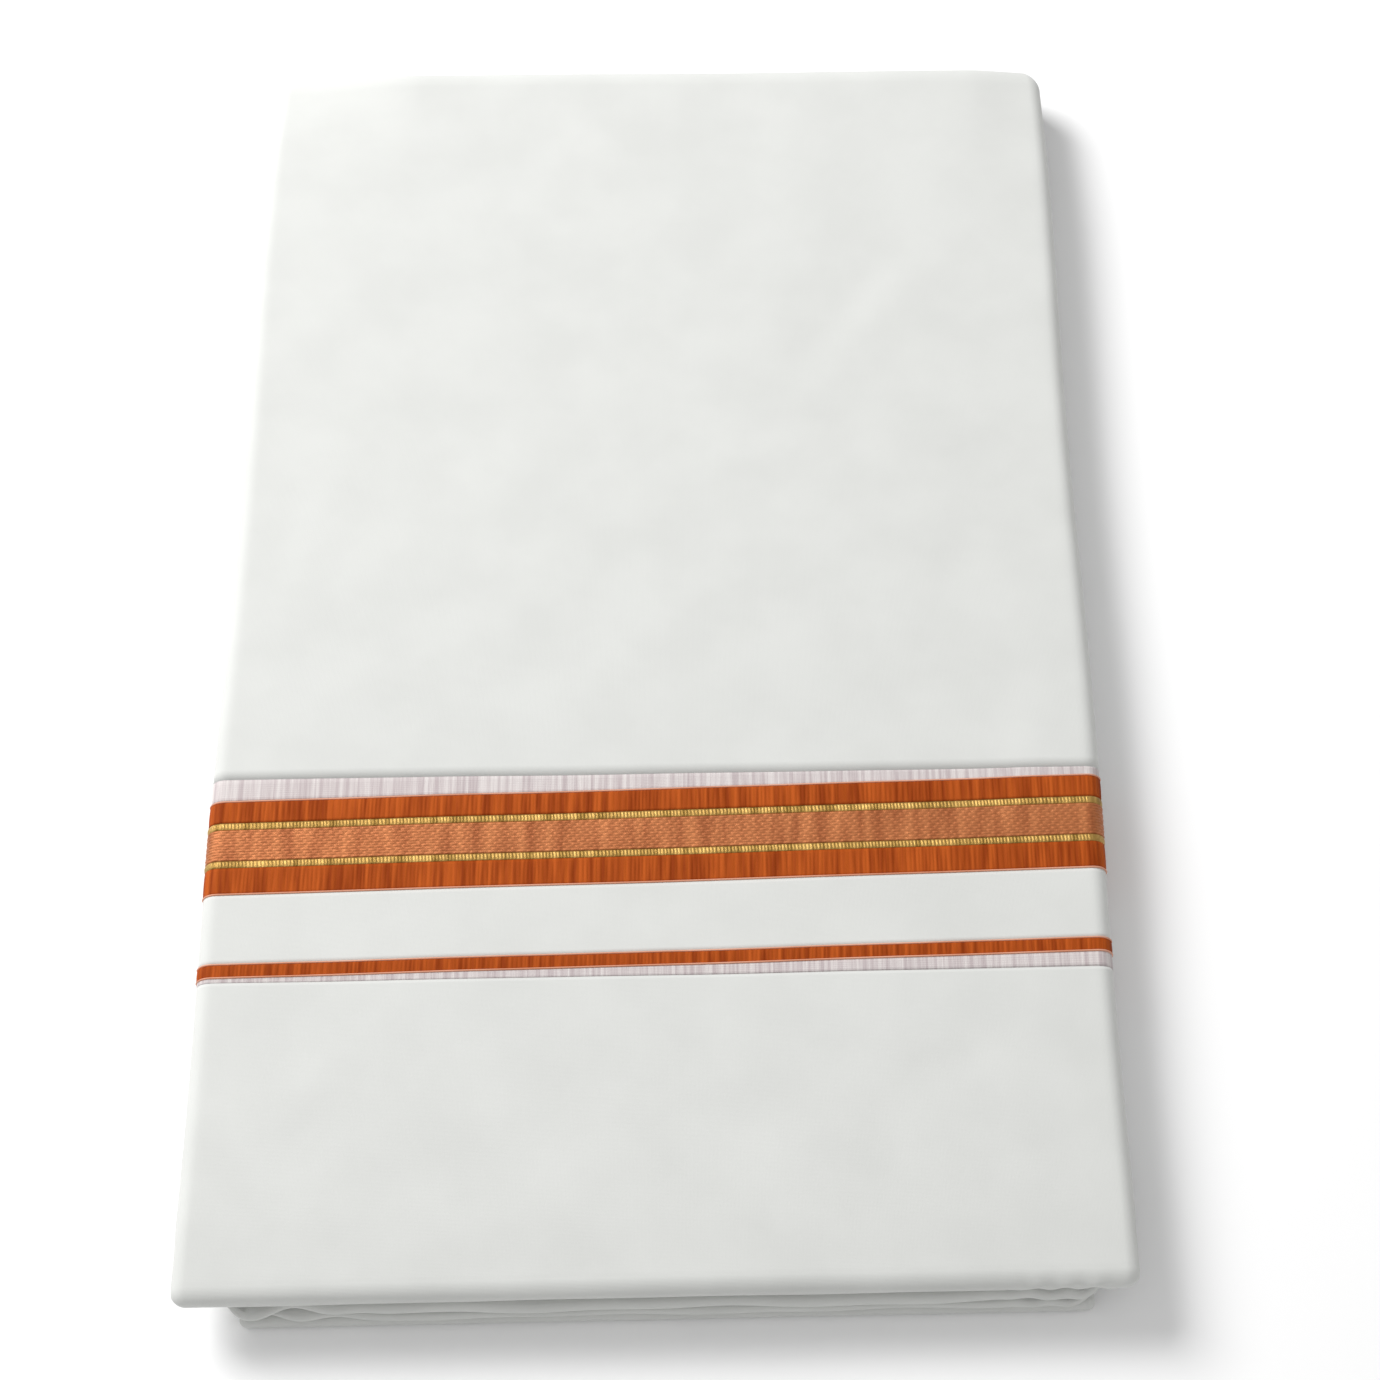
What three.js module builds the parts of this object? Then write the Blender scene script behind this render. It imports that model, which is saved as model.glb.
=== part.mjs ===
// A folded dhoti: one long rectangle of white cotton with a woven border of orange, gold and copper
// near its end. The cloth is folded in four across its width and in eight along its length, and lies
// flat as a soft rectangular pack. Millimetres; X across the pack, Y from the open end to the spine
// fold, Z up, with the origin under the middle of the pack.
//
// The outermost plies are one wall that starts tucked in at the open end, rolls up on to the top,
// runs to the spine, turns under and comes back below the pack to the open end. The woven stripes
// are stretches of that wall. The plies inside share one solid, layered at its edges.
import * as THREE from 'three';

// Driving dimensions.
const WIDTH = 312;
const LENGTH = 512;
const THICKNESS = 26;
const WALL = 1.2;
const GAP = 0.3;

// How far the open end runs out of square with the pack, and the woven border with it, per mm of X.
const END_SLANT = 0.015;
const BORDER_SLANT = 0.027;

// The leaves at the open end, from the lowest up: where each lies in height, and how far its folded
// edge stands in from the pack's left, right and near outlines. The first and the last are wrapped by
// the outer wall.
const LEAVES = [
  { bottom: 0, top: 5.8, left: 20, right: 12.5, near: 1.2 },
  { bottom: 6.1, top: 9.8, left: 14, right: 10.5, near: 0.9 },
  { bottom: 10.1, top: 14.7, left: 11.5, right: 8, near: 0.4 },
  { bottom: 15, top: THICKNESS, left: 0, right: 0, near: 0 },
];
const BASE_LEAF = LEAVES[0];
const TOP_LEAF = LEAVES[LEAVES.length - 1];
const GROOVE = 30;             // depth of the slots between the leaves
const SPINE_SLOT = 2;          // their depth at the spine, where the leaves are joined
const TUCK = 8;                // how far the wall is tucked in under a leaf
const SIDE_TUCK = 5;           // how far its side edges are

// The cloth's colours.
const CLOTH = 0xe5e6e3;
const ORANGE_STRIPE = 0xa4491a;
const ORANGE = 0xa85320;
const GOLD = 0xc8a05e;
const COPPER = 0xb87048;
const SHEER = 0xc3bab8;

// The woven stripes on top, from the open end towards the spine: the width of each at the left and at
// the right edge. The thin stripe starts STRIPE_START from the middle of the pack.
const STRIPE_START = -141.5;
const WEAVE = [
  { name: 'thin_stripe', left: 4.8, right: 4.8, colour: ORANGE_STRIPE },
  { name: 'gap_panel', left: 26, right: 26, colour: CLOTH },
  { name: 'border_orange_low', left: 9.8, right: 9.8, colour: ORANGE },
  { name: 'border_gold_low', left: 2.8, right: 2.8, colour: GOLD },
  { name: 'border_copper', left: 11.7, right: 11.7, colour: COPPER },
  { name: 'border_gold_high', left: 2.8, right: 2.8, colour: GOLD },
  { name: 'border_orange_high', left: 8.2, right: 8.2, colour: ORANGE },
  { name: 'border_sheer_high', left: 8.8, right: 3.2, colour: SHEER },
];
const LOW_SHEER = { name: 'stripe_sheer_low', left: 1.8, right: 5.8, colour: SHEER };

// How far the pack sinks at its far corners, and over what distance.
const DROOP = { left: 6, right: 3, reach: 60 };

const NEAR = -LENGTH / 2 + END_SLANT * WIDTH / 2;
const FAR = LENGTH / 2;
const SPINE = THICKNESS / 2;
const TOP_ROLL = (TOP_LEAF.top - TOP_LEAF.bottom) / 2;
const BASE_ROLL = (BASE_LEAF.top - BASE_LEAF.bottom) / 2;
const CLEAR = WALL + GAP;
const LOOSE = 1.5;             // how far the layers inside stand back from the wall's side curls

const smooth = (t) => THREE.MathUtils.smoothstep(t, 0, 1);
const mix = THREE.MathUtils.lerp;
const steps = (count) => Array.from({ length: count + 1 }, (_, i) => i / count);
// Places along a stretch that stand closer together towards its end, or towards both its ends.
const closeAtEnd = (t) => Math.sin(t * Math.PI / 2);
const closeAtBoth = (t) => (1 - Math.cos(t * Math.PI)) / 2;

// The pack's soft settling, the same for every piece: its height falls away at the far corners.
function settle(x, y, z) {
  const far = smooth((y - FAR + DROOP.reach) / DROOP.reach);
  const left = DROOP.left * smooth((-x - WIDTH / 2 + DROOP.reach) / DROOP.reach);
  const right = DROOP.right * smooth((x - WIDTH / 2 + DROOP.reach) / DROOP.reach);
  return [x, y, z * (1 - far * (left + right) / THICKNESS)];
}

// A closed solid through rings of equally many points. Each end is closed by a strip between the
// first and the second half of its ring.
function loft(rings) {
  const count = rings[0].length;
  const positions = rings.flat(2);
  const index = [];
  for (let r = 0; r < rings.length - 1; r += 1) {
    for (let i = 0; i < count; i += 1) {
      const a = r * count + i;
      const b = r * count + ((i + 1) % count);
      index.push(a, b, b + count, a, b + count, a + count);
    }
  }
  const last = (rings.length - 1) * count;
  for (let i = 0; i < count / 2 - 1; i += 1) {
    const j = count - 1 - i;
    index.push(i + 1, i, j, i + 1, j, j - 1);
    index.push(last + i, last + i + 1, last + j, last + i + 1, last + j - 1, last + j);
  }
  const geometry = new THREE.BufferGeometry();
  geometry.setAttribute('position', new THREE.Float32BufferAttribute(positions, 3));
  geometry.setIndex(index);
  geometry.computeVertexNormals();
  return geometry;
}

// --- the outer wall ---

// One station of the wall's path in side view: the place of its outer face, the angle of the outward
// normal from +Y towards +Z, the half widths, and the curl of the side edges: its radius, how far
// round it goes and how far it is tucked in after that.
function station(y, z, angle, form = {}) {
  const closed = { left: WIDTH / 2, right: WIDTH / 2, curl: TOP_ROLL, sweep: Math.PI, tuck: SIDE_TUCK };
  return { y, z, angle, slant: 0, ...closed, ...form };
}

const FLAT_COLUMNS = 9;
const CURL_COLUMNS = 5;

// How many stretches each part of the wall's path is cut into.
const NEAR_ROWS = 10;
const FAR_ROWS = 14;
const UNDER_ROWS = 12;
const TOP_ROLL_ROWS = 6;
const BASE_ROLL_ROWS = 5;
const SPINE_ROWS = 10;

// One side edge of the wall at a station, depth mm inside its outer face: [across, inwards] from
// where the flat part ends to the tucked tip.
function curledEdge({ curl, sweep, tuck }, depth) {
  const arc = steps(CURL_COLUMNS).map((t) => {
    const turn = t * sweep;
    return [(curl - depth) * Math.sin(turn), curl - (curl - depth) * Math.cos(turn)];
  });
  const [across, inwards] = arc[arc.length - 1];
  return [...arc, [across - tuck, inwards]];
}

// All columns of the wall at a station, from the left tip to the right tip.
function columns(at, depth) {
  const edge = curledEdge(at, depth);
  const left = edge.map(([across, inwards]) => [-at.left + at.curl - across, inwards]).reverse();
  const right = edge.map(([across, inwards]) => [at.right - at.curl + across, inwards]);
  const flat = steps(FLAT_COLUMNS).slice(1, -1).map((t) => (
    [mix(-at.left + at.curl, at.right - at.curl, t), depth]
  ));
  return [...left, ...flat, ...right];
}

function wallRing(at) {
  const place = ([x, inwards]) => settle(
    x,
    at.y + at.slant * x - inwards * Math.cos(at.angle),
    at.z - inwards * Math.sin(at.angle),
  );
  return [...columns(at, 0).map(place), ...columns(at, WALL).reverse().map(place)];
}

const wall = (stations) => loft(stations.map(wallRing));

// Stations round a roll of the wall from one angle to another, with the form changing evenly.
function roll(centreY, centreZ, radius, from, to, count, form) {
  return steps(count).map((t) => {
    const angle = mix(from, to, t);
    return station(centreY + radius * Math.cos(angle), centreZ + radius * Math.sin(angle), angle, form(t));
  });
}

// The side curl on top opens out towards the open end and towards the spine.
const OPEN_NEAR = THREE.MathUtils.degToRad(60);
const OPEN_SPINE = THREE.MathUtils.degToRad(72);
const OPENING_REACH = 42;
const UP = Math.PI / 2;

// Between these two places on top, beyond the border, the cloth comes back square with the spine.
const SLANT_FADES = STRIPE_START + 90;
const SQUARE = FAR - 50;

// The side edge is tucked in only where its curl is all but closed.
const tuckAt = (closing) => SIDE_TUCK * smooth(4 * closing - 3);

function topForm(y) {
  const shut = smooth((y - NEAR - 3 * TOP_ROLL) / OPENING_REACH);
  const shutFar = smooth((FAR - 2 * SPINE - y) / OPENING_REACH);
  const opened = shutFar < 1 ? OPEN_SPINE : OPEN_NEAR;
  const closing = Math.min(shut, shutFar);
  const border = smooth((y - NEAR) / (STRIPE_START - NEAR));
  const beyond = smooth((y - SLANT_FADES) / (SQUARE - SLANT_FADES));
  return {
    sweep: mix(opened, Math.PI, closing),
    tuck: tuckAt(closing),
    slant: mix(mix(END_SLANT, BORDER_SLANT, border), 0, beyond),
  };
}

// A station on top that follows the edge of a stripe: taper is how much further from the open end
// the edge lies at the left than in the middle of the pack.
function topStation(y, taper = 0) {
  const form = topForm(y);
  return station(y, THICKNESS, UP, { ...form, slant: form.slant - taper / (WIDTH / 2) });
}

// The stretch of wall between two edges on top, each { y, taper }, with the seam gap left off.
function topStretch(from, to, count = 1, spread = (t) => t) {
  return steps(count).map(spread).map((t) => topStation(
    mix(from.y + GAP / 2, to.y - GAP / 2, t),
    mix(from.taper, to.taper, t),
  ));
}

// The edges of the stripes, one more than there are stripes.
function weaveEdges() {
  let edge = { y: STRIPE_START, taper: 0 };
  return [edge, ...WEAVE.map(({ left, right }) => {
    edge = { y: edge.y + (left + right) / 2, taper: edge.taper + (left - right) / 2 };
    return edge;
  })];
}

const EDGES = weaveEdges();
const LOW_EDGE = {
  y: STRIPE_START - (LOW_SHEER.left + LOW_SHEER.right) / 2,
  taper: (LOW_SHEER.right - LOW_SHEER.left) / 2,
};

function nearPanel() {
  const open = { sweep: OPEN_NEAR, tuck: 0, slant: END_SLANT };
  const centre = NEAR + TOP_ROLL;
  const tucked = station(centre + TUCK, TOP_LEAF.bottom, -UP, open);
  const rolled = roll(centre, TOP_LEAF.bottom + TOP_ROLL, TOP_ROLL, -UP, -3 * UP, TOP_ROLL_ROWS, () => open);
  const top = topStretch({ y: centre, taper: 0 }, LOW_EDGE, NEAR_ROWS).slice(1);
  return wall([tucked, ...rolled, ...top]);
}

function farPanel() {
  const start = EDGES[EDGES.length - 1];
  const end = { y: FAR - SPINE, taper: 0 };
  const top = topStretch(start, end, FAR_ROWS, closeAtEnd).slice(0, -1);
  const narrowing = (t) => ({
    sweep: OPEN_SPINE,
    tuck: 0,
    curl: mix(TOP_ROLL, BASE_ROLL, smooth(t)),
    left: WIDTH / 2 - mix(TOP_LEAF.left, BASE_LEAF.left, smooth(t)),
    right: WIDTH / 2 - mix(TOP_LEAF.right, BASE_LEAF.right, smooth(t)),
  });
  return wall([...top, ...roll(FAR - SPINE, SPINE, SPINE, UP, -UP, SPINE_ROWS, narrowing)]);
}

function underPanel() {
  const near = NEAR + BASE_LEAF.near + BASE_ROLL;
  const far = FAR - SPINE - GAP;
  const form = (shut, slant) => ({
    sweep: mix(OPEN_NEAR, Math.PI, shut),
    tuck: tuckAt(shut),
    curl: BASE_ROLL,
    left: WIDTH / 2 - BASE_LEAF.left,
    right: WIDTH / 2 - BASE_LEAF.right,
    slant,
  });
  const flat = steps(UNDER_ROWS).slice(0, -1).map(closeAtBoth).map((t) => {
    const y = mix(far, near, t);
    const shut = smooth(Math.min(far - y, y - near - BASE_ROLL) / OPENING_REACH);
    return station(y, 0, -UP, form(shut, END_SLANT * t));
  });
  const open = form(0, END_SLANT);
  const rolled = roll(near, BASE_ROLL, BASE_ROLL, -UP, -3 * UP, BASE_ROLL_ROWS, () => open);
  const tucked = station(near + TUCK, 2 * BASE_ROLL, UP, open);
  return wall([...flat, ...rolled, tucked]);
}

// --- the layers inside ---

const SIDE_POINTS = 12;
const END_POINTS = 7;
const CORNER_POINTS = 3;
const EDGE_RINGS = 4;            // round each leaf's folded edge
const CORNER = 12;               // radius of the outline's corners
// How far in the flat rings on the top leaf stand, which close the solid from its edge to its middle.
const CROWN = [46, 75, 105, 135];
const CORE_ROLL = SPINE - CLEAR - LOOSE / 2;

// A level outline of the layers inside: a rectangle with round corners, from the middle of its left
// side round the open end, and back along the spine, where it follows the spine's round.
function outline({ z, left, right, near, far = 0 }) {
  const spine = Math.sqrt(Math.max(CORE_ROLL ** 2 - (z - SPINE) ** 2, 0));
  const x0 = -WIDTH / 2 + left;
  const x1 = WIDTH / 2 - right;
  const y0 = NEAR + near;
  const y1 = FAR - SPINE + spine - far;
  const middle = (y0 + y1) / 2;
  const side = steps(SIDE_POINTS / 2).slice(0, -1);
  const half = (end, inwards) => [
    ...side.map((t) => [x0, mix(middle, end + inwards * CORNER, t)]),
    ...corner(x0 + CORNER, end + inwards * CORNER, -1, -inwards),
    ...steps(END_POINTS).slice(1, -1).map((t) => [mix(x0 + CORNER, x1 - CORNER, t), end]),
    ...corner(x1 - CORNER, end + inwards * CORNER, 1, -inwards).reverse(),
    ...side.map((t) => [x1, mix(middle, end + inwards * CORNER, t)]).reverse(),
  ];
  const ring = [...half(y0, 1), ...half(y1, -1).slice(1, -1).reverse()];
  return ring.map(([x, y]) => settle(x, y + slantAt(y) * x, z));
}

const slantAt = (y) => END_SLANT * smooth((FAR - y) / LENGTH);

function corner(x, y, side, end) {
  return steps(CORNER_POINTS).map((t) => {
    const turn = t * UP;
    return [x + side * CORNER * Math.cos(turn), y + end * CORNER * Math.sin(turn)];
  });
}

// The rings round one leaf, from its underside up: a slot, the rounded folded edge, and the slot above.
function leafRings({ bottom, top, left, right, near }, slot) {
  const round = (top - bottom) / 2;
  const ring = (z, inset) => outline({ z, left: left + inset, right: right + inset, near: near + inset });
  const edge = steps(EDGE_RINGS).map((t) => {
    const turn = mix(-UP, UP, t);
    return ring(bottom + round + round * Math.sin(turn), round - round * Math.cos(turn));
  });
  const inner = (z) => outline({ z, left: slot, right: slot, near: slot, far: SPINE_SLOT });
  return [inner(bottom), ...edge, inner(top)];
}

function foldedLayers() {
  const base = { ...BASE_LEAF, bottom: CLEAR, top: BASE_LEAF.top - CLEAR - LOOSE / 2 };
  const top = { ...TOP_LEAF, bottom: TOP_LEAF.bottom + CLEAR + LOOSE, top: TOP_LEAF.top - CLEAR - LOOSE / 2 };
  const leaves = [base, ...LEAVES.slice(1, -1), top];
  const rings = leaves.flatMap((leaf) => {
    const wrapped = leaf === base || leaf === top;
    const side = wrapped ? CLEAR + LOOSE : 0;
    const near = leaf.near + (wrapped ? CLEAR + LOOSE / 2 : 0);
    return leafRings({ ...leaf, left: leaf.left + side, right: leaf.right + side, near }, GROOVE);
  });
  const crown = CROWN.map((inset) => outline({
    z: top.top, left: inset, right: inset, near: inset, far: inset - GROOVE + SPINE_SLOT,
  }));
  return loft([...rings, ...crown]);
}

// --- the pack ---

const pack = new THREE.Group();

function add(name, geometry, color) {
  const material = new THREE.MeshStandardMaterial({ color, roughness: 0.9, metalness: 0 });
  const mesh = new THREE.Mesh(geometry, material);
  mesh.name = name;
  pack.add(mesh);
}

add('near_panel', nearPanel(), CLOTH);
add(LOW_SHEER.name, wall(topStretch(LOW_EDGE, EDGES[0])), LOW_SHEER.colour);
WEAVE.forEach(({ name, colour }, i) => add(name, wall(topStretch(EDGES[i], EDGES[i + 1])), colour));
add('far_panel', farPanel(), CLOTH);
add('under_panel', underPanel(), CLOTH);
add('folded_layers', foldedLayers(), CLOTH);

// The origin goes under the middle of the pack.
const box = new THREE.Box3().setFromObject(pack);
const middle = box.getCenter(new THREE.Vector3());
pack.position.set(-middle.x, -middle.y, -box.min.z);

export default pack;
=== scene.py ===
"""A folded white cotton dhoti with a woven border, lying flat as a pack."""
import math

import bmesh
import bpy
import numpy as np
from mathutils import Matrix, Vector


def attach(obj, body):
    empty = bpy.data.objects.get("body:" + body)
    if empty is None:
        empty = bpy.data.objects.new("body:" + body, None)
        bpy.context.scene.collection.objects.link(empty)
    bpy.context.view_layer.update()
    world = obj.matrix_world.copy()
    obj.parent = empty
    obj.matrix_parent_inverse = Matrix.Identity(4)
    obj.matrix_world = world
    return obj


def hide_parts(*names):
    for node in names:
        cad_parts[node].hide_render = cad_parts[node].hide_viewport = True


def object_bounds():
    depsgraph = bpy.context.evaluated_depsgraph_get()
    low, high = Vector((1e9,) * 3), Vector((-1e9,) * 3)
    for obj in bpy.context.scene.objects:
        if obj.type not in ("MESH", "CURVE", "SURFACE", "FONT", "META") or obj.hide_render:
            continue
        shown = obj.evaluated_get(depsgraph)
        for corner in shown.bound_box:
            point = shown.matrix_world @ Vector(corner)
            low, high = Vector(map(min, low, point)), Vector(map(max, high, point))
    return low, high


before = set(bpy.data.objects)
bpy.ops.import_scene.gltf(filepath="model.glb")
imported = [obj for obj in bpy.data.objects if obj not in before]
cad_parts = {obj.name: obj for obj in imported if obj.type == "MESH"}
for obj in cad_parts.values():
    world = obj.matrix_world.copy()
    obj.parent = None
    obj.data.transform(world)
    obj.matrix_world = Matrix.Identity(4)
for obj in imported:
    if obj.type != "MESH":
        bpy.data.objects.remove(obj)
CAD_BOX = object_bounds()

bl_info = {
    "name": "Folded dhoti",
    "version": (1, 0, 0),
    "blender": (4, 5, 0),
    "location": "View3D > Sidebar > Dhoti",
    "description": "Cloth, woven border and studio of a folded dhoti",
    "category": "Object",
}

# Sizes are in millimetres, X across the pack, Y from the open end to the spine fold and Z up.
MM = 0.001
(X_LOW, Y_LOW, Z_LOW), (X_HIGH, Y_HIGH, Z_HIGH) = [[v / MM for v in corner] for corner in CAD_BOX]
WIDTH = X_HIGH - X_LOW
THICK = Z_HIGH - Z_LOW
END_SLANT = 0.015        # how far the open end runs out of square with the pack, per mm across
BORDER_SLANT = 0.027     # and the woven border
NEAR = Y_LOW + END_SLANT * WIDTH / 2
FAR = Y_HIGH
SPINE = THICK / 2        # radius of the spine fold
TOP_ROLL = 5.5           # radius of the top cloth's rolled edges
BASE_ROLL = 2.9          # and of the lowest leaf's
BASE_LEFT = WIDTH / 2 - 20
BASE_RIGHT = WIDTH / 2 - 12.5
BASE_OUT = 2.6           # how far the lowest leaf stands out at the open end
TUCK = 14                # how far the cloth is tucked in at the open end
SIDE_TUCK = 5.0          # and at a side whose curl is closed
STRIPE_START = -141.5    # where the thin stripe starts
LOW_SHEER = (STRIPE_START - 3.8, 2.0)  # the near edge of the sparse strip beside it: place, taper
SLANT_FADES = STRIPE_START + 90        # from here the cloth comes back square with the spine
SQUARE = FAR - 50                      # and here it has
OPENING_REACH = 42       # the stretch over which a side curl opens
SINK_LEFT = 6            # how far the far corners sink
SINK_RIGHT = 3
SINK_REACH = 60          # over what distance, and at the right over half of it
RIPPLES = (108, 154)     # where the short waves at the right of the open end start and stop
RIPPLE_LENGTH = 9.3
UP = math.pi / 2
OPEN_NEAR = math.radians(60)
OPEN_SPINE = math.radians(72)

# Rows of the meshes.
NEAR_ROWS = 90
FAR_ROWS = 120
UNDER_ROWS = 110
TUCK_ROWS = 8
ROLL_ROWS = 26
BASE_ROLL_ROWS = 18
SPINE_ROWS = 36


def linear(code):
    """A colour from its sRGB hex code, as linear red, green, blue and alpha."""
    parts = [int(code[i:i + 2], 16) / 255 for i in (1, 3, 5)]
    return tuple(c / 12.92 if c <= 0.04045 else ((c + 0.055) / 1.055) ** 2.4 for c in parts) + (1.0,)


def colour(name, description, code):
    """A colour property with its default given as sRGB hex."""
    return bpy.props.FloatVectorProperty(
        name=name, description=description, subtype="COLOR", size=4, min=0, max=1, default=linear(code))


def length(name, description, default):
    """A length property in millimetres."""
    return bpy.props.FloatProperty(name=name, description=description, default=default, min=0)


class ClothSizes(bpy.types.PropertyGroup):
    """Sizes of the cloth, in millimetres."""
    ply: length("Ply", "Thickness of the outermost plies", 0.9)
    rib: length("Rib", "Average spacing of the orange bands' ribs", 1.7)
    bead: length("Bead", "Spacing of the gold lines' beads", 1.2)
    float_row: length("Float row", "Spacing of the copper rows", 1.06)
    float_run: length("Float run", "Length of one copper float", 3.2)
    ripple: length("Ripple", "Height of the waves at the open end", 1.3)


class ClothColours(bpy.types.PropertyGroup):
    """Colours of the cloth."""
    cotton: colour("Cotton", "Plain white cotton", "#d4d5d2")
    orange: colour("Orange", "Orange weft", "#b5541a")
    rust: colour("Rust", "The orange weft's darker ribs", "#8a3606")
    gold: colour("Gold", "Gold metallic thread", "#c9a25c")
    copper: colour("Copper", "Copper metallic thread", "#c27a4c")
    # The sheer colour is partly the threads' own lavender tint and partly painted shade: the dark grey of the gaps in
    # the sparse weave and of the shaded layers seen through them.
    sheer: colour("Sheer", "Sparse lavender-grey weave", "#b9adae")
    peach: colour("Peach", "Pale line along the orange bands", "#e0a68c")


# --- shapes, as whole arrays in millimetres ---

def smooth(t):
    """0 below 0, 1 above 1, and three t squared less two t cubed between."""
    t = np.clip(t, 0, 1)
    return t * t * (3 - 2 * t)


def mix(a, b, t):
    """From a at 0 evenly to b at 1."""
    return a + (b - a) * t


# Soft dents and rises of the top: place, reach along and across, turn in degrees, height.
CREASES = (
    (72, 128, 60, 9, 62, -0.55), (70, 74, 44, 8, -38, -0.45), (46, 66, 50, 10, 20, 0.4),
    (112, 20, 46, 9, 75, -0.5), (96, -178, 40, 10, 40, -0.55), (-96, 150, 70, 12, 12, 0.45),
    (-60, -20, 80, 14, -22, -0.4), (-118, -190, 34, 9, 58, 0.45), (20, -196, 60, 11, 4, -0.35),
    (-20, 205, 70, 12, -6, 0.5), (132, -60, 44, 8, 86, 0.35), (-136, 30, 60, 8, 92, -0.4),
    (30, -30, 90, 16, 34, 0.35), (-84, 76, 54, 10, -58, -0.35),
)


def relief(x, y):
    """Slow swells as a few sine waves, and creases as long soft bells."""
    z = 0.35 * np.sin(x / 47 + 1.1) * np.sin(y / 61 + 0.4) + 0.16 * np.sin(x / 19 + y / 33 + 2.0)
    z = z + 0.1 * np.sin(x / 11 - y / 17) * np.sin(y / 23 + 1.7)
    for cx, cy, along, across, turn, height in CREASES:
        c, s = math.cos(math.radians(turn)), math.sin(math.radians(turn))
        p = (x - cx) * c + (y - cy) * s
        q = (y - cy) * c - (x - cx) * s + 2.5 * np.sin(p / 15)
        z = z + height * np.exp(-(p / along * 2) ** 2 - (q / across) ** 2)
    return z


def ripple(x, y):
    """Waves of the open end: short ones at the right, slow low ones elsewhere, fading inwards."""
    amount = bpy.context.scene.cloth_sizes.ripple
    at_end = smooth((NEAR + 8 - y) / 7)
    start, stop = RIPPLES
    right = smooth((x - start) / 18) * smooth((stop - x) / 9)
    waves = amount * right * np.sin((x - start - 3) * 2 * math.pi / RIPPLE_LENGTH)
    slow = 0.45 * np.sin(x / 13 + 0.6) * np.sin(x / 31) - 0.9 * smooth((-x - 60) / 70)
    return at_end * (waves + slow)


def sink(x, y, z):
    """The height after the far corners have sunk: less by a share that grows towards each of them."""
    reach = SINK_REACH / 2
    far = smooth((y - FAR + SINK_REACH) / SINK_REACH)
    left = SINK_LEFT * smooth((-x - WIDTH / 2 + SINK_REACH) / SINK_REACH)
    right = SINK_RIGHT * smooth((x - WIDTH / 2 + reach) / reach)
    return z * (1 - far * (left + right) / THICK)


def settle(x, y, z):
    """The far corners sink, the top swells and creases, and the open end waves; the base stays flat."""
    lift = smooth((z - 0.3 * THICK) / (0.7 * THICK))
    z = sink(x, y, z)
    z = z + lift * relief(x, y) + smooth((z - 9) / 6) * (1 - 0.8 * smooth((z - 21) / 4)) * ripple(x, y)
    slump = smooth((NEAR + 26 - y) / 26) * smooth((z - 20) / 6)
    side = 0.6 * np.sin(y / 37 + x / 60) * smooth((np.abs(x) - WIDTH / 2 + 30) / 30) * lift
    return x + side * np.sign(x), y, z - 0.9 * slump


def columns(flat, curl, tuck):
    """Column places from the left tip to the right tip: side, share of curl, of tuck and of flat."""
    bend = (np.arange(curl) + 1) / curl
    tip = (np.arange(tuck) + 1) / tuck
    edge = np.concatenate([bend, np.ones(tuck)])
    end = np.concatenate([np.zeros(curl), tip])
    middle = np.linspace(0, 1, flat)
    side = np.concatenate([-np.ones(curl + tuck), np.zeros(flat), np.ones(curl + tuck)])
    turn = np.concatenate([edge[::-1], np.zeros(flat), edge])
    tucked = np.concatenate([end[::-1], np.zeros(flat), end])
    share = np.concatenate([np.zeros(curl + tuck), middle, np.ones(curl + tuck)])
    return side, turn, tucked, share


def sheet_points(rows, cols, depth):
    """Points depth inside the cloth's outer face: each row is a strip that is flat across and curls
    round a radius at both sides, set square to the path that the rows follow in side view."""
    side, turn, tucked, share = (c[None, :] for c in cols)
    r = {key: value[:, None] for key, value in rows.items()}
    theta = turn * r["sweep"]
    curl = r["curl"]
    across = (curl - depth) * np.sin(theta) - tucked * r["tuck"]
    inward = curl - (curl - depth) * np.cos(theta)
    x = mix(-r["left"] + curl, r["right"] - curl, share) + side * across
    y = r["y"] + r["slant"] * x - inward * np.cos(r["angle"])
    z = r["z"] - inward * np.sin(r["angle"])
    flat = (r["right"] + r["left"] - 2 * curl) * (share - 0.5)
    u = flat + side * (curl * theta + tucked * r["tuck"])
    return x, y, z, u, r["path"] + 0 * u


def make_rows(y, z, angle, path, **form):
    """Rows of the path with their form, each a number or an array of the path's length."""
    rows = {
        "y": y, "z": z, "angle": angle, "path": path, "left": WIDTH / 2, "right": WIDTH / 2,
        "curl": TOP_ROLL, "sweep": math.pi, "tuck": SIDE_TUCK, "slant": 0.0, **form,
    }
    return {key: value + np.zeros_like(y) for key, value in rows.items()}


def join_rows(*parts):
    """The rows of several stretches of the path, one after another."""
    return {key: np.concatenate([p[key] for p in parts]) for key in parts[0]}


def tuck_at(closing):
    """A side edge is tucked in only over the last quarter of its curl's closing."""
    return SIDE_TUCK * smooth(4 * closing - 3)


def top_rows(y, taper=0.0):
    """Rows on top: the side curl opens towards the open end and the spine."""
    shut = smooth((y - NEAR - 3 * TOP_ROLL) / OPENING_REACH)
    shut_far = smooth((FAR - 2 * SPINE - y) / OPENING_REACH)
    closing = np.minimum(shut, shut_far)
    sweep = mix(np.where(shut_far < 1, OPEN_SPINE, OPEN_NEAR), math.pi, closing)
    border = smooth((y - NEAR) / (STRIPE_START - NEAR))
    beyond = smooth((y - SLANT_FADES) / (SQUARE - SLANT_FADES))
    slant = mix(mix(END_SLANT, BORDER_SLANT, border), 0, beyond) - taper / (WIDTH / 2)
    return make_rows(y, THICK, UP, y - NEAR, sweep=sweep, slant=slant, tuck=tuck_at(closing))


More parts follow.
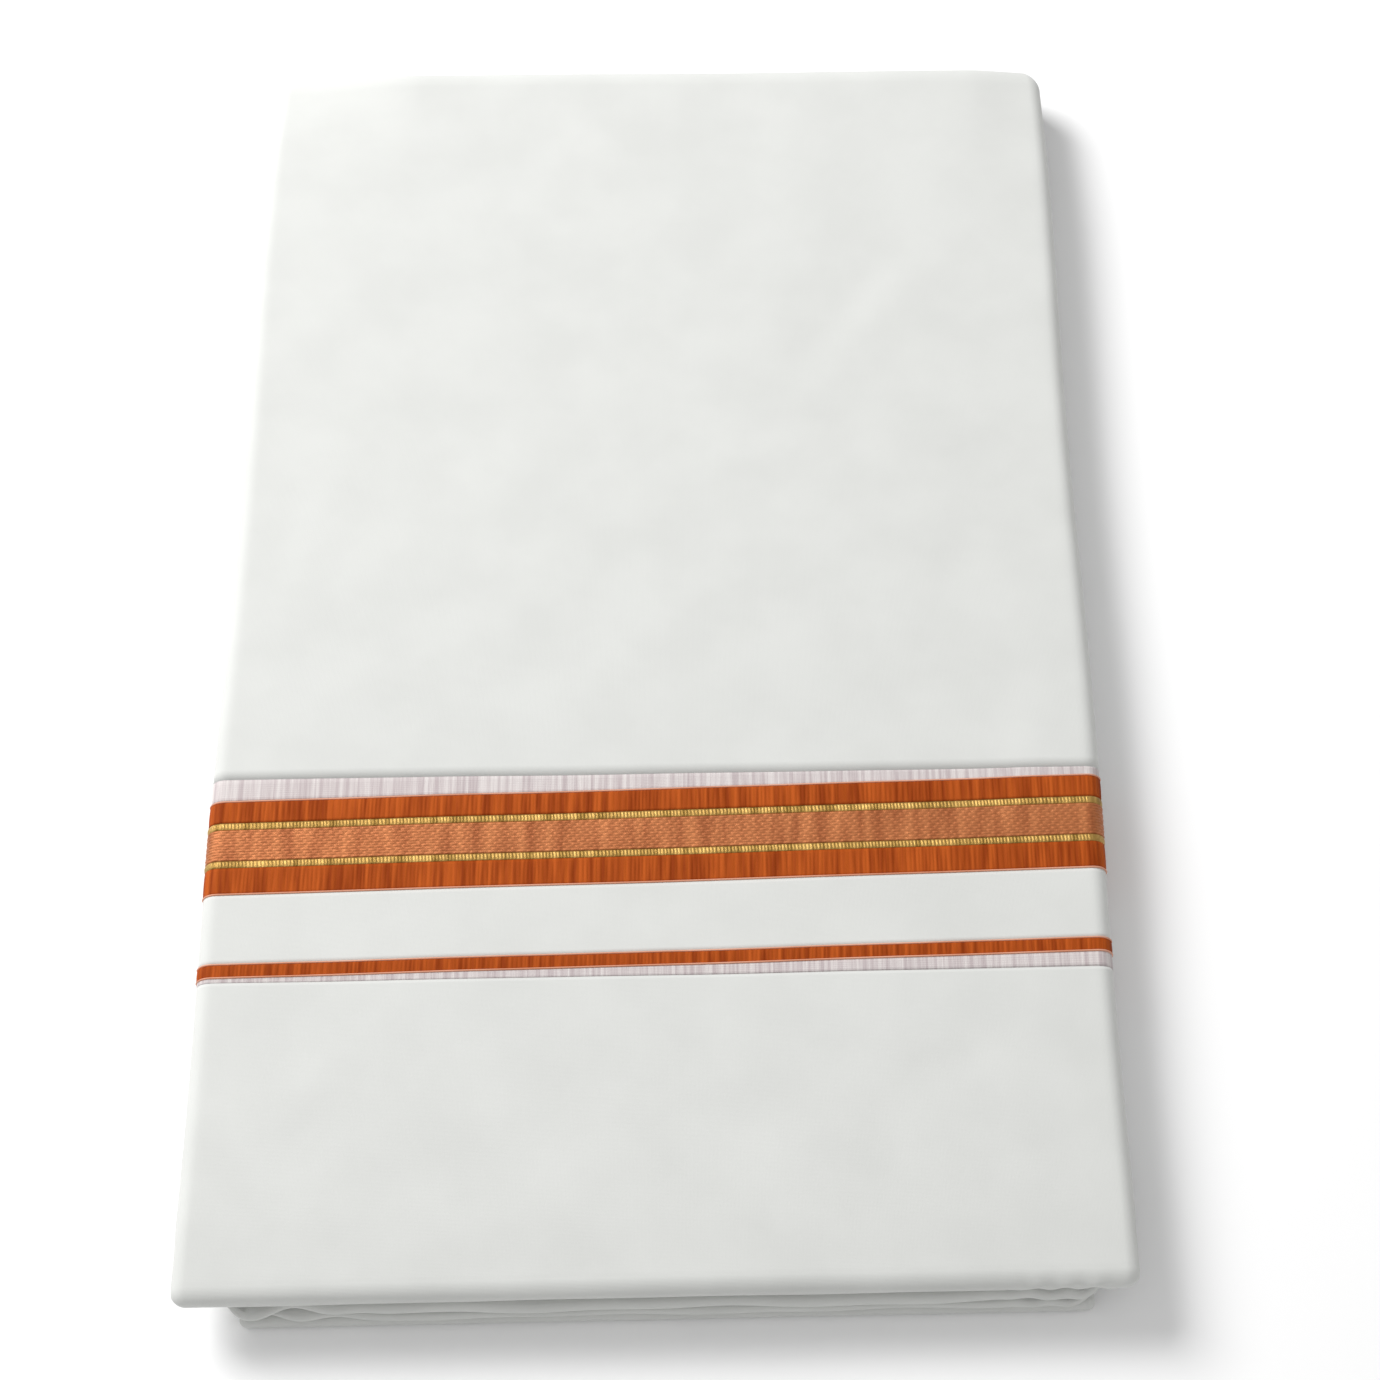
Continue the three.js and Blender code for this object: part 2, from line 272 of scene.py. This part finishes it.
def roll_rows(cy, cz, radius, start, stop, count, path, **form):
    """Rows round a roll of the path."""
    angle = np.linspace(start, stop, count)
    along = path + radius * np.abs(angle - start)
    return make_rows(cy + radius * np.cos(angle), cz + radius * np.sin(angle), angle, along, **form)


# --- meshes ---

def new_object(name, points, faces, uv, material, nodes):
    """A mesh piece in metres, riding on the pack, in place of the named nodes."""
    mesh = bpy.data.meshes.new(name)
    mesh.from_pydata((points * MM).tolist(), [], faces.tolist())
    layer = mesh.uv_layers.new(name="cloth")
    loops = np.empty(len(mesh.loops), dtype=np.int32)
    mesh.loops.foreach_get("vertex_index", loops)
    layer.data.foreach_set("uv", (uv[loops] * MM).astype(np.float32).ravel())
    mesh.polygons.foreach_set("use_smooth", np.ones(len(mesh.polygons), dtype=bool))
    mesh.materials.append(material)
    mesh.update()
    piece = bpy.data.objects.new(name, mesh)
    bpy.context.scene.collection.objects.link(piece)
    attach(piece, "root")
    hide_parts(*nodes)
    return piece


def shell_faces(rows, cols, start=0):
    """Quads of a grid of rows by cols points."""
    index = start + np.arange(rows * cols).reshape(rows, cols)
    return np.stack([index[:-1, :-1], index[:-1, 1:], index[1:, 1:], index[1:, :-1]], -1).reshape(-1, 4)


def cloth_piece(name, rows, cols, height, material, nodes):
    """A closed thin shell: an outer face raised by height and an inner face one ply inside it, joined
    all round their rims. height is an array or 0."""
    ply = bpy.context.scene.cloth_sizes.ply
    n, m = len(rows["y"]), len(cols[0])
    outer = sheet_points(rows, cols, -height * np.ones((n, m)))
    inner = sheet_points(rows, cols, ply * np.ones((n, m)))
    points, uvs = [], []
    for x, y, z, u, v in (outer, inner):
        points.append(np.stack(settle(x, y, z), -1).reshape(-1, 3))
        uvs.append(np.stack([u, v], -1).reshape(-1, 2))
    front = shell_faces(n, m)
    back = shell_faces(n, m, n * m)[:, ::-1]
    index = np.arange(n * m).reshape(n, m)
    rim = np.concatenate([index[0, :], index[1:, -1], index[-1, -2::-1], index[-2:0:-1, 0]])
    after = np.roll(rim, -1)
    edge = np.stack([after, rim, rim + n * m, after + n * m], -1)
    faces = np.concatenate([front, back, edge])
    points = np.concatenate(points)
    corner = points[faces]
    volume = np.einsum("ij,ij->i", corner[:, 0], np.cross(corner[:, 1], corner[:, 2])).sum()
    volume += np.einsum("ij,ij->i", corner[:, 0], np.cross(corner[:, 2], corner[:, 3])).sum()
    if volume < 0:
        faces = faces[:, ::-1]
    return new_object(name, points, faces, np.concatenate(uvs), material, nodes)


# --- materials ---

def node(tree, kind, inputs=None, **settings):
    """One shader node with its settings and its inputs, each a value or another node's output."""
    made = tree.nodes.new(kind)
    for key, value in settings.items():
        setattr(made, key, value)
    for key, value in (inputs or {}).items():
        if isinstance(value, bpy.types.NodeSocket):
            tree.links.new(value, made.inputs[key])
        else:
            made.inputs[key].default_value = value
    return made


def fabric(name, base, vary, rough, metal=0.0, sheen=0.15, bump=0.2, spacing=0.45, ribs=None, gloss=0.2):
    """Woven cloth: two colours mixed by slow mottling and by threads, with the weave as bump. spacing is
    the thread spacing in millimetres, coarser than life so that it shows. ribs is the spacing of thread
    streaks that run along the cloth."""
    made = bpy.data.materials.new(name)
    made.use_nodes = True
    tree = made.node_tree
    tree.nodes.clear()
    uv = node(tree, "ShaderNodeUVMap", uv_map="cloth").outputs["UV"]
    spread = (ribs, 40) if ribs else (30, 30)
    wide = node(tree, "ShaderNodeMapping", {"Vector": uv, "Scale": (*(1000 / s for s in spread), 1)})
    mottle = node(tree, "ShaderNodeTexNoise", {"Vector": wide.outputs["Vector"], "Scale": 1.0, "Detail": 3.0})
    ramp = node(tree, "ShaderNodeMapRange", {"Value": mottle.outputs["Fac"], "From Min": 0.35, "From Max": 0.65})
    tint = node(tree, "ShaderNodeMix", {0: ramp.outputs["Result"], 6: base, 7: vary}, data_type="RGBA")
    weave_at = node(tree, "ShaderNodeMapping", {"Vector": uv, "Scale": (1000 / spacing, 1000 / spacing, 1)})
    grain = node(tree, "ShaderNodeTexNoise", {"Vector": weave_at.outputs["Vector"], "Scale": 1.0, "Detail": 1.0})
    warp = node(tree, "ShaderNodeTexWave", {"Vector": weave_at.outputs["Vector"], "Scale": 0.32}, bands_direction="X")
    weft = node(tree, "ShaderNodeTexWave", {"Vector": weave_at.outputs["Vector"], "Scale": 0.32}, bands_direction="Y")
    both = node(tree, "ShaderNodeMath", {0: warp.outputs["Fac"], 1: weft.outputs["Fac"]}, operation="MULTIPLY")
    height = node(tree, "ShaderNodeMath", {0: both.outputs[0], 1: grain.outputs["Fac"]}, operation="ADD")
    normal = node(tree, "ShaderNodeBump", {"Height": height.outputs[0], "Strength": bump, "Distance": 0.00012})
    shader = node(tree, "ShaderNodeBsdfPrincipled", {
        "Base Color": tint.outputs[2], "Roughness": rough, "Metallic": metal, "Sheen Weight": sheen,
        "Sheen Roughness": 0.5, "Specular IOR Level": gloss, "Normal": normal.outputs["Normal"],
    })
    node(tree, "ShaderNodeOutputMaterial", {"Surface": shader.outputs["BSDF"]})
    return made


MATERIALS = {}


def material(kind):
    """The pack's materials, each made once."""
    if kind in MATERIALS:
        return MATERIALS[kind]
    c = bpy.context.scene.cloth_colours
    tone = {
        # Mill-woven cotton, pressed: matt, with a soft nap and very faint mottling.
        "white_cotton": lambda: fabric("woven_white_cotton", c.cotton, linear("#d0d1ce"), 0.88, bump=0.25),
        # Dyed cotton weft packed into ribs: matt with a silky edge, each rib its own shade.
        "orange_weave": lambda: fabric(
            "ribbed_orange_weft", c.rust, c.orange, 0.7, sheen=0.0, bump=0.4, spacing=0.3, ribs=2.4, gloss=0.1),
        # Flattened gilt thread over a yellow core: small soft glints.
        "gold_zari": lambda: fabric(
            "gilt_thread", c.gold, linear("#8f6f34"), 0.38, metal=0.55, sheen=0.0, bump=0.4, spacing=0.3, ribs=3),
        # Flattened copper thread floated over the ground: glints broken into short runs.
        "copper_zari": lambda: fabric(
            "copper_thread", c.copper, linear("#a05c36"), 0.42, metal=0.4, sheen=0.0, bump=0.4, spacing=0.3, ribs=5),
        # Open ground with few wefts: the single lengthwise threads show as fine pale lines, and the dark lines and
        # grey between them are painted shade of the gaps and of the layers seen through them.
        "sheer_weave": lambda: fabric(
            "sparse_weave_and_gap_shade", c.sheer, linear("#d6cfcd"), 0.8, bump=0.6, spacing=0.6, ribs=1.3),
        # Silky pale edge thread.
        "peach": lambda: fabric("peach_edge_thread", c.peach, linear("#cf8a6a"), 0.6, bump=0.3, spacing=0.3),
    }[kind]
    MATERIALS[kind] = tone()
    return MATERIALS[kind]


# --- pieces ---

# The woven stripes from the open end towards the spine: node, width at the left and right edges,
# material, and rows and columns of its mesh.
WEAVE = (
    ("thin_stripe", 4.8, 4.8, "orange_weave", 8, 1100),
    ("gap_panel", 26, 26, "white_cotton", 16, 240),
    ("border_orange_low", 9.8, 9.8, "orange_weave", 10, 1100),
    ("border_gold_low", 2.8, 2.8, "gold_zari", 8, 1700),
    ("border_copper", 11.7, 11.7, "copper_zari", 56, 660),
    ("border_gold_high", 2.8, 2.8, "gold_zari", 8, 1700),
    ("border_orange_high", 8.2, 8.2, "orange_weave", 10, 1100),
    ("border_sheer_high", 8.8, 3.2, "sheer_weave", 6, 500),
)


def ribs(u, v):
    """Ribs along the cloth, unevenly spaced: a sine of the place across that is itself swayed, with
    its edges rounded down."""
    pitch = bpy.context.scene.cloth_sizes.rib
    phase = u / pitch + 0.6 * np.sin(u / 7.3) + 0.5 * np.sin(u / 3.1 + 1) + 0.35 * np.sin(u / 17.9)
    return 0.24 * np.abs(np.sin(math.pi * phase)) ** 0.7 * np.sin(math.pi * np.clip(v, 0.02, 0.98)) ** 0.4


def beads(u, v):
    """A line of slanting beads: a rectified sine across, domed along, swelling and kinking in places."""
    pitch = bpy.context.scene.cloth_sizes.bead
    swell = 1 + 0.5 * np.sin(u / 9.7) * np.sin(u / 4.3 + 2)
    across = np.abs(np.sin(math.pi * (u / pitch + 0.35 * v + 0.3 * np.sin(u / 6.1))))
    return (0.15 + 0.3 * across * swell) * np.sin(math.pi * v) ** 0.5


def floats(u, v, depth):
    """Rows of long floats laid like bricks: domed across each row, rounded at each float's ends, and
    every second row moved by half a float."""
    sizes = bpy.context.scene.cloth_sizes
    row = v * depth / sizes.float_row
    number = np.floor(row)
    dome = np.abs(np.sin(math.pi * row)) ** 0.6
    run = u / sizes.float_run + 0.5 * (number % 2) + 0.13 * np.sin(number * 7.7) + 0.12 * np.sin(u / 5.3)
    ends = np.abs(np.sin(math.pi * run)) ** 0.4
    return 0.05 + 0.34 * dome * ends


def weave_edges():
    """The stripes' edges along the middle, and how much further out each lies at the left."""
    y, taper, edges = STRIPE_START, 0.0, [(STRIPE_START, 0.0)]
    for _, left, right, *_ in WEAVE:
        y, taper = y + (left + right) / 2, taper + (left - right) / 2
        edges.append((y, taper))
    return edges


def stripe(name, start, end, kind, count, cols):
    """One woven stripe between two edges."""
    share = np.linspace(0, 1, count)
    y = mix(start[0], end[0], share)
    rows = top_rows(y, mix(start[1], end[1], share))
    places = columns(cols, 40 if cols > 300 else 12, 4)
    u = sheet_points(rows, places, 0.0)[3]
    v = share[:, None] + 0 * u
    height = {
        "orange_weave": lambda: 0.08 + ribs(u, v),
        "gold_zari": lambda: beads(u, v),
        "copper_zari": lambda: floats(u, v, end[0] - start[0]),
    }.get(kind, lambda: 0.0)()
    return cloth_piece(name + "_weave", rows, places, height, material(kind), [name])


def edge_line(name, node_name, y, taper):
    """A raised pale thread along one edge of an orange band: a half-round 0.6 mm wide."""
    share = np.linspace(0, 1, 5)
    rows = top_rows(y - 0.3 + 0.6 * share, taper)
    places = columns(500, 20, 2)
    height = 0.2 + 0.25 * np.sin(math.pi * share)[:, None] * np.ones((1, len(places[0])))
    return cloth_piece(name, rows, places, height, material("peach"), [node_name])


class DHOTI_OT_top(bpy.types.Operator):
    """The white stretches on top and round the spine"""
    bl_idname = "dhoti.top"
    bl_label = "Top cloth"

    def execute(self, context):
        edges = weave_edges()
        cols = columns(180, 12, 4)
        centre = NEAR + TOP_ROLL
        open_end = {"sweep": OPEN_NEAR, "tuck": 0.0, "slant": END_SLANT}
        inside = np.linspace(centre + TUCK, centre, TUCK_ROWS)[:-1]
        tucked = make_rows(inside, THICK - 2 * TOP_ROLL, -UP, inside - NEAR - 30, **open_end)
        rolled = roll_rows(
            centre, THICK - TOP_ROLL, TOP_ROLL, -UP, -3 * UP, ROLL_ROWS, -TOP_ROLL * math.pi, **open_end)
        share = np.linspace(0, 1, NEAR_ROWS)[1:]
        top = top_rows(mix(centre, LOW_SHEER[0], share), LOW_SHEER[1] * share)
        near = cloth_piece(
            "near_cloth", join_rows(tucked, rolled, top), cols, 0.0, material("white_cotton"),
            ["near_panel"])
        start = edges[-1]
        share = np.sin(np.linspace(0, 1, FAR_ROWS) * UP)[:-1]
        beyond = top_rows(mix(start[0], FAR - SPINE, share), start[1] * (1 - share))
        narrow = smooth(np.linspace(0, 1, SPINE_ROWS))
        spine = roll_rows(
            FAR - SPINE, SPINE, SPINE, UP, -UP, SPINE_ROWS, FAR - SPINE - NEAR, sweep=OPEN_SPINE, tuck=0.0,
            curl=mix(TOP_ROLL, BASE_ROLL, narrow), left=mix(WIDTH / 2, BASE_LEFT, narrow),
            right=mix(WIDTH / 2, BASE_RIGHT, narrow))
        far = cloth_piece(
            "far_cloth", join_rows(beyond, spine), cols, 0.0, material("white_cotton"),
            ["far_panel"])
        return {"FINISHED"}


class DHOTI_OT_border(bpy.types.Operator):
    """The woven border, the thin stripe and the cloth between them"""
    bl_idname = "dhoti.border"
    bl_label = "Woven border"

    def execute(self, context):
        edges = weave_edges()
        pieces = {}
        for i, (name, _, _, kind, count, cols) in enumerate(WEAVE):
            pieces[name] = stripe(name, edges[i], edges[i + 1], kind, count, cols)
        pieces["low"] = stripe("stripe_sheer_low", LOW_SHEER, edges[0], "sheer_weave", 5, 500)
        for i, (name, *_) in enumerate(WEAVE):
            if name in ("thin_stripe", "border_orange_low"):
                pieces[name + "_near"] = edge_line(name + "_near_thread", name, *edges[i])
            if name in ("thin_stripe", "border_orange_high"):
                pieces[name + "_far"] = edge_line(name + "_far_thread", name, *edges[i + 1])
        gap = pieces.pop("gap_panel")
        copper = pieces.pop("border_copper")
        return {"FINISHED"}


class DHOTI_OT_under(bpy.types.Operator):
    """The underside, which the pack rests on"""
    bl_idname = "dhoti.under"
    bl_label = "Underside"

    def execute(self, context):
        near = NEAR - BASE_OUT + BASE_ROLL
        y = mix(FAR - SPINE, near, np.linspace(0, 1, UNDER_ROWS))[:-1]
        shut = smooth(np.minimum(FAR - SPINE - y, y - near - BASE_ROLL) / OPENING_REACH)
        form = {"curl": BASE_ROLL, "left": BASE_LEFT, "right": BASE_RIGHT}
        flat = make_rows(
            y, 0.0, -UP, FAR - y, sweep=mix(OPEN_NEAR, math.pi, shut), tuck=tuck_at(shut),
            slant=END_SLANT * (FAR - y) / (FAR - near), **form)
        ends = {"sweep": OPEN_NEAR, "tuck": 0.0, "slant": END_SLANT, **form}
        rolled = roll_rows(near, BASE_ROLL, BASE_ROLL, -UP, -3 * UP, BASE_ROLL_ROWS, FAR - near, **ends)
        back = np.linspace(near, near + TUCK, TUCK_ROWS)[1:]
        tucked = make_rows(back, 2 * BASE_ROLL, UP, FAR - near + 20 + back, **ends)
        under = cloth_piece(
            "under_cloth", join_rows(flat, rolled, tucked), columns(150, 8, 3), 0.0,
            material("white_cotton"), ["under_panel"])
        return {"FINISHED"}


# The folded leaves inside, from the lowest: heights, how far each stands in at the left, right and near,
# and how strongly its near edge waves.
LEAVES = (
    ("base_layers", 1.4, 4.2, 22.5, 15, -0.6, 0.0),
    ("third_leaf", 6.1, 9.9, 14, 10.5, -2.3, 0.9),
    ("second_leaf", 10.0, 14.8, 11.5, 8, -1.6, 1.3),
    ("top_layers", 17.5, 24.0, 3.5, 3.5, 2.4, 0.2),
)
LEAF_CORNER = 13.0       # radius of a leaf's corners
LEAF_DEPTH = 26.0        # how far a leaf runs in from its folded edge


def leaf(name, low, high, left, right, near, wave):
    """A folded leaf: a half-round edge of three plies carried round the left, near and right sides of a
    rectangle with round corners, and closed inside. Its near edge waves and pinches at the left."""
    phi = np.linspace(-UP, UP, 21)[None, :]
    radius = (high - low) / 2
    corner = LEAF_CORNER
    x0, x1, y0 = -WIDTH / 2 + left, WIDTH / 2 - right, NEAR + near
    arc = np.linspace(0, UP, 14)[1:-1]
    long = np.linspace(FAR - SPINE, y0 + corner, 120)
    wide = np.linspace(x0 + corner, x1 - corner, 330)
    px = np.concatenate([0 * long + x0, x0 + corner - corner * np.cos(arc), wide,
                         x1 - corner + corner * np.sin(arc), 0 * long + x1])
    py = np.concatenate([long, y0 + corner - corner * np.sin(arc), 0 * wide + y0,
                         y0 + corner - corner * np.cos(arc), long[::-1]])
    nx = np.concatenate([0 * long - 1, -np.cos(arc), 0 * wide, np.sin(arc), 0 * long + 1])
    ny = np.concatenate([0 * long, -np.sin(arc), 0 * wide - 1, -np.cos(arc), 0 * long])
    px, py, nx, ny = (a[:, None] for a in (px, py, nx, ny))
    side = np.abs(nx) ** 3
    plies = 0.32 * side * np.abs(np.sin(phi * 3.2))
    out = radius * np.cos(phi) - radius - plies
    front = smooth((NEAR + 22 - py) / 20)
    pinch = smooth((-px - WIDTH / 2 + 72) / 40) * front
    reach = out + wave * front * (0.35 * np.sin(px / 17 + low) + 0.2 * np.sin(px / 7.1 + 2 * low))
    reach = reach - pinch * (1.2 + 1.5 * np.sin(px / 4.3 + low))
    z = (low + high) / 2 + radius * np.sin(phi) * (1 - 0.35 * pinch)
    swell = np.sin(px / 23 + low) * 0.35
    swell = swell + smooth((px - 105) / 20) * np.sin((px - 112) * 2 * math.pi / 13 + low)
    z = z + wave * front * swell + pinch * wave * 0.9 * np.sin(px / 5.2 + 1.7 * low)
    x, y = px + nx * reach, py + ny * reach + slant_at(py) * px
    back_x, back_y = px - nx * LEAF_DEPTH, py - ny * LEAF_DEPTH + slant_at(py) * px
    x = np.concatenate([back_x, x, back_x], 1)
    y = np.concatenate([back_y, y, back_y], 1)
    z = np.concatenate([0 * px + low, z + 0 * px, 0 * px + high], 1)
    points = np.stack((x, y, sink(x, y, z)), -1)
    n, m = x.shape
    index = np.arange(n * m).reshape(n, m)
    ring = np.concatenate([index, index[:, :1]], 1)
    faces = np.stack([ring[:-1, :-1], ring[1:, :-1], ring[1:, 1:], ring[:-1, 1:]], -1).reshape(-1, 4)
    uv = np.stack([px + py + 0 * z, z + y * 0.3], -1)
    piece = new_object(name, points.reshape(-1, 3), faces, uv.reshape(-1, 2), material("white_cotton"),
                       ["folded_layers"])
    close_ends(piece)
    return piece


def slant_at(y):
    """How far out of square the layers run at y."""
    return END_SLANT * smooth((FAR - y) / (FAR - NEAR))


def close_ends(piece):
    """Close the strip's two ends and turn all faces outwards."""
    mesh = bmesh.new()
    mesh.from_mesh(piece.data)
    bmesh.ops.holes_fill(mesh, edges=[e for e in mesh.edges if e.is_boundary], sides=0)
    bmesh.ops.recalc_face_normals(mesh, faces=mesh.faces)
    mesh.to_mesh(piece.data)
    mesh.free()


class DHOTI_OT_leaves(bpy.types.Operator):
    """The folded layers that show between the top and the underside"""
    bl_idname = "dhoti.leaves"
    bl_label = "Folded leaves"

    def execute(self, context):
        for row in LEAVES:
            leaf(*row)
        return {"FINISHED"}


# The camera stands in front of the open end and looks down at 62 degrees: metres, degrees and mm.
CAMERA_PLACE = (0.0196, -0.479, 0.8589)
CAMERA_TURN = (90 - 62.01, 0.61, -0.19)
CAMERA_LENS = 68.86
CAMERA_SENSOR = 36

# The studio, in metres and watts: each light's name, place, size and power.
LIGHTS = (
    ("key", (-1.3, 1.0, 1.5), 1.1, 52.0),
    ("fill", (0.3, -0.6, 2.4), 2.2, 8.0),
)
SKY = 0.45
FLOOR_REACH = 6.0
FLOOR_DROP = 0.0002
PAPER = (0.95, 0.95, 0.95, 1)


def add_camera(scene):
    """The camera that sees the pack from in front and above."""
    camera = bpy.data.objects.new("camera", bpy.data.cameras.new("camera"))
    scene.collection.objects.link(camera)
    camera.location = CAMERA_PLACE
    camera.rotation_euler = [math.radians(a) for a in CAMERA_TURN]
    camera.data.lens = CAMERA_LENS
    camera.data.sensor_width = CAMERA_SENSOR
    scene.camera = camera


def add_floor(scene):
    """A wide square of matt white paper, a hair under the pack."""
    mesh = bpy.data.meshes.new("floor")
    r = FLOOR_REACH
    mesh.from_pydata([(-r, -r, 0), (r, -r, 0), (r, r, 0), (-r, r, 0)], [], [(0, 1, 2, 3)])
    floor = bpy.data.objects.new("floor", mesh)
    floor.location.z = -FLOOR_DROP
    scene.collection.objects.link(floor)
    paper = bpy.data.materials.new("white_paper")
    paper.use_nodes = True
    inputs = paper.node_tree.nodes["Principled BSDF"].inputs
    inputs["Base Color"].default_value = PAPER
    inputs["Roughness"].default_value = 0.9
    mesh.materials.append(paper)


def add_light(scene, name, place, size, power):
    """A square light that faces the middle of the pack."""
    x, y, z = place
    light = bpy.data.objects.new(name, bpy.data.lights.new(name, "AREA"))
    light.data.size = size
    light.data.energy = power
    light.location = place
    light.rotation_euler = (math.atan2(math.hypot(x, y), z), 0, math.atan2(y, x) + UP)
    scene.collection.objects.link(light)


def add_sky(scene):
    """Even white light from all round."""
    scene.world = bpy.data.worlds.new("studio")
    scene.world.use_nodes = True
    inputs = scene.world.node_tree.nodes["Background"].inputs
    inputs["Color"].default_value = (1, 1, 1, 1)
    inputs["Strength"].default_value = SKY


class DHOTI_OT_stage(bpy.types.Operator):
    """The floor, the lights and the camera"""
    bl_idname = "dhoti.stage"
    bl_label = "Studio"

    def execute(self, context):
        scene = context.scene
        add_camera(scene)
        add_floor(scene)
        for light in LIGHTS:
            add_light(scene, *light)
        add_sky(scene)
        scene.view_settings.view_transform = "Standard"
        return {"FINISHED"}


class DHOTI_PT_panel(bpy.types.Panel):
    """Lists the dhoti's pieces"""
    bl_label = "Dhoti"
    bl_idname = "DHOTI_PT_panel"
    bl_space_type = "VIEW_3D"
    bl_region_type = "UI"
    bl_category = "Dhoti"

    def draw(self, context):
        for operator in OPERATORS:
            self.layout.operator(operator.bl_idname)


OPERATORS = (DHOTI_OT_stage, DHOTI_OT_top, DHOTI_OT_border, DHOTI_OT_under, DHOTI_OT_leaves)
CLASSES = (ClothSizes, ClothColours, *OPERATORS, DHOTI_PT_panel)


def register():
    """Register the classes and give the scene its sizes and colours."""
    for cls in CLASSES:
        bpy.utils.register_class(cls)
    bpy.types.Scene.cloth_sizes = bpy.props.PointerProperty(type=ClothSizes)
    bpy.types.Scene.cloth_colours = bpy.props.PointerProperty(type=ClothColours)


def unregister():
    """Undo register."""
    del bpy.types.Scene.cloth_colours
    del bpy.types.Scene.cloth_sizes
    for cls in reversed(CLASSES):
        bpy.utils.unregister_class(cls)


def main():
    """Build the stage and every piece."""
    register()
    bpy.ops.dhoti.stage()
    bpy.ops.dhoti.top()
    bpy.ops.dhoti.border()
    bpy.ops.dhoti.under()
    bpy.ops.dhoti.leaves()


if __name__ == "__main__":
    main()
